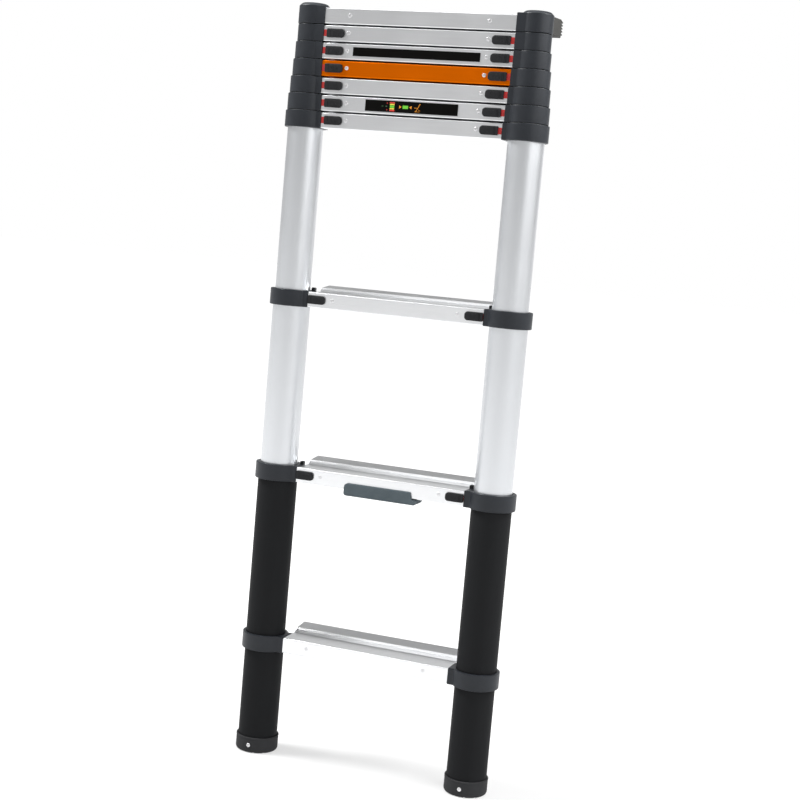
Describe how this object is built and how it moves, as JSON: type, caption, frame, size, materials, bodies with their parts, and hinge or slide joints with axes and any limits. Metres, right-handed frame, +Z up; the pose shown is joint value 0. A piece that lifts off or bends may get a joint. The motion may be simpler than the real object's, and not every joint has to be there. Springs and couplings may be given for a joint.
{
  "type": "telescoping ladder",
  "caption": "Telescoping aluminium ladder of nested tube stiles with moulded collars, hollow treads and thumb latches, partly pulled out.",
  "frame": {"origin": "on the floor plane under the middle of the ladder's box", "axes": "+Z up along the stiles, +X to the right for a climber facing the ladder, +Y towards the wall"},
  "size_m": [0.4662, 0.1252, 1.292],
  "materials": {
    "black_tube": "black anodised, satin",
    "silver_tube": "clear anodised, satin",
    "silver_rung": "clear anodised extrusion with a fine grain",
    "orange_rung": "orange anodised, satin",
    "collar_plastic": "charcoal moulded plastic",
    "latch_plastic": "dark moulded plastic",
    "handle_plastic": "charcoal moulded plastic",
    "plate_print": "printed label plate",
    "rubber": "dark rubber"
  },
  "bodies": {
    "section_1": {"tube_1_left": "black_tube", "foot_left": "rubber", "collar_1_left": "collar_plastic", "collar_2_left": "collar_plastic", "tube_1_right": "black_tube", "foot_right": "rubber", "collar_1_right": "collar_plastic", "collar_2_right": "collar_plastic", "rung_1": "silver_rung", "rung_2": "silver_rung", "carry_handle": "handle_plastic"},
    "section_2": {"tube_2_left": "silver_tube", "collar_3_left": "collar_plastic", "tube_2_right": "silver_tube", "collar_3_right": "collar_plastic", "rung_3": "silver_rung"},
    "section_3": {"tube_3_left": "silver_tube", "collar_4_left": "collar_plastic", "tube_3_right": "silver_tube", "collar_4_right": "collar_plastic", "rung_4": "silver_rung"},
    "section_4": {"stile_4_left": "silver_tube", "stile_4_right": "silver_tube", "rung_5": "silver_rung", "angle_gauge_plate": "plate_print"},
    "section_5": {"stile_5_left": "silver_tube", "stile_5_right": "silver_tube", "rung_6": "silver_rung"},
    "section_6": {"stile_6_left": "silver_tube", "stile_6_right": "silver_tube", "rung_7": "orange_rung"},
    "section_7": {"stile_7_left": "silver_tube", "stile_7_right": "silver_tube", "rung_8": "silver_rung", "maker_plate": "plate_print"},
    "section_8": {"stile_8_left": "silver_tube", "stile_8_right": "silver_tube", "rung_9": "silver_rung"},
    "section_9": {"stile_9_left": "silver_tube", "wall_pad_left": "rubber", "stile_9_right": "silver_tube", "wall_pad_right": "rubber", "rung_10": "silver_rung"},
    "latch_2_left": {"latch_2_left": "latch_plastic"},
    "latch_2_right": {"latch_2_right": "latch_plastic"},
    "latch_3_left": {"latch_3_left": "latch_plastic"},
    "latch_3_right": {"latch_3_right": "latch_plastic"},
    "latch_4_left": {"latch_4_left": "latch_plastic"},
    "latch_4_right": {"latch_4_right": "latch_plastic"},
    "latch_5_left": {"latch_5_left": "latch_plastic"},
    "latch_5_right": {"latch_5_right": "latch_plastic"},
    "latch_6_left": {"latch_6_left": "latch_plastic"},
    "latch_6_right": {"latch_6_right": "latch_plastic"},
    "latch_7_left": {"latch_7_left": "latch_plastic"},
    "latch_7_right": {"latch_7_right": "latch_plastic"},
    "latch_8_left": {"latch_8_left": "latch_plastic"},
    "latch_8_right": {"latch_8_right": "latch_plastic"},
    "latch_9_left": {"latch_9_left": "latch_plastic"},
    "latch_9_right": {"latch_9_right": "latch_plastic"}
  },
  "joints": [
    {"name": "section_2_slide", "type": "slide", "parent": "section_1", "child": "section_2", "axis": [0, 0, 1], "range_m": [-0.2714, 0]},
    {"name": "section_3_slide", "type": "slide", "parent": "section_2", "child": "section_3", "axis": [0, 0, 1], "range_m": [-0.2714, 0]},
    {"name": "section_4_slide", "type": "slide", "parent": "section_3", "child": "section_4", "axis": [0, 0, 1], "range_m": [0, 0.2714]},
    {"name": "section_5_slide", "type": "slide", "parent": "section_4", "child": "section_5", "axis": [0, 0, 1], "range_m": [0, 0.2714]},
    {"name": "section_6_slide", "type": "slide", "parent": "section_5", "child": "section_6", "axis": [0, 0, 1], "range_m": [0, 0.2714]},
    {"name": "section_7_slide", "type": "slide", "parent": "section_6", "child": "section_7", "axis": [0, 0, 1], "range_m": [0, 0.2714]},
    {"name": "section_8_slide", "type": "slide", "parent": "section_7", "child": "section_8", "axis": [0, 0, 1], "range_m": [0, 0.2714]},
    {"name": "section_9_slide", "type": "slide", "parent": "section_8", "child": "section_9", "axis": [0, 0, 1], "range_m": [0, 0.2714]},
    {"name": "latch_2_left_slide", "type": "slide", "parent": "section_1", "child": "latch_2_left", "axis": [1, 0, 0], "range_m": [0, 0.0055], "stiffness_N_per_m": 400},
    {"name": "latch_2_right_slide", "type": "slide", "parent": "section_1", "child": "latch_2_right", "axis": [-1, 0, 0], "range_m": [0, 0.0055], "stiffness_N_per_m": 400},
    {"name": "latch_3_left_slide", "type": "slide", "parent": "section_2", "child": "latch_3_left", "axis": [1, 0, 0], "range_m": [0, 0.0055], "stiffness_N_per_m": 400},
    {"name": "latch_3_right_slide", "type": "slide", "parent": "section_2", "child": "latch_3_right", "axis": [-1, 0, 0], "range_m": [0, 0.0055], "stiffness_N_per_m": 400},
    {"name": "latch_4_left_slide", "type": "slide", "parent": "section_3", "child": "latch_4_left", "axis": [1, 0, 0], "range_m": [-0.0055, 0], "stiffness_N_per_m": 400},
    {"name": "latch_4_right_slide", "type": "slide", "parent": "section_3", "child": "latch_4_right", "axis": [-1, 0, 0], "range_m": [-0.0055, 0], "stiffness_N_per_m": 400},
    {"name": "latch_5_left_slide", "type": "slide", "parent": "section_4", "child": "latch_5_left", "axis": [1, 0, 0], "range_m": [-0.0055, 0], "stiffness_N_per_m": 400},
    {"name": "latch_5_right_slide", "type": "slide", "parent": "section_4", "child": "latch_5_right", "axis": [-1, 0, 0], "range_m": [-0.0055, 0], "stiffness_N_per_m": 400},
    {"name": "latch_6_left_slide", "type": "slide", "parent": "section_5", "child": "latch_6_left", "axis": [1, 0, 0], "range_m": [-0.0055, 0], "stiffness_N_per_m": 400},
    {"name": "latch_6_right_slide", "type": "slide", "parent": "section_5", "child": "latch_6_right", "axis": [-1, 0, 0], "range_m": [-0.0055, 0], "stiffness_N_per_m": 400},
    {"name": "latch_7_left_slide", "type": "slide", "parent": "section_6", "child": "latch_7_left", "axis": [1, 0, 0], "range_m": [-0.0055, 0], "stiffness_N_per_m": 400},
    {"name": "latch_7_right_slide", "type": "slide", "parent": "section_6", "child": "latch_7_right", "axis": [-1, 0, 0], "range_m": [-0.0055, 0], "stiffness_N_per_m": 400},
    {"name": "latch_8_left_slide", "type": "slide", "parent": "section_7", "child": "latch_8_left", "axis": [1, 0, 0], "range_m": [-0.0055, 0], "stiffness_N_per_m": 400},
    {"name": "latch_8_right_slide", "type": "slide", "parent": "section_7", "child": "latch_8_right", "axis": [-1, 0, 0], "range_m": [-0.0055, 0], "stiffness_N_per_m": 400},
    {"name": "latch_9_left_slide", "type": "slide", "parent": "section_8", "child": "latch_9_left", "axis": [1, 0, 0], "range_m": [-0.0055, 0], "stiffness_N_per_m": 400},
    {"name": "latch_9_right_slide", "type": "slide", "parent": "section_8", "child": "latch_9_right", "axis": [-1, 0, 0], "range_m": [-0.0055, 0], "stiffness_N_per_m": 400}
  ]
}
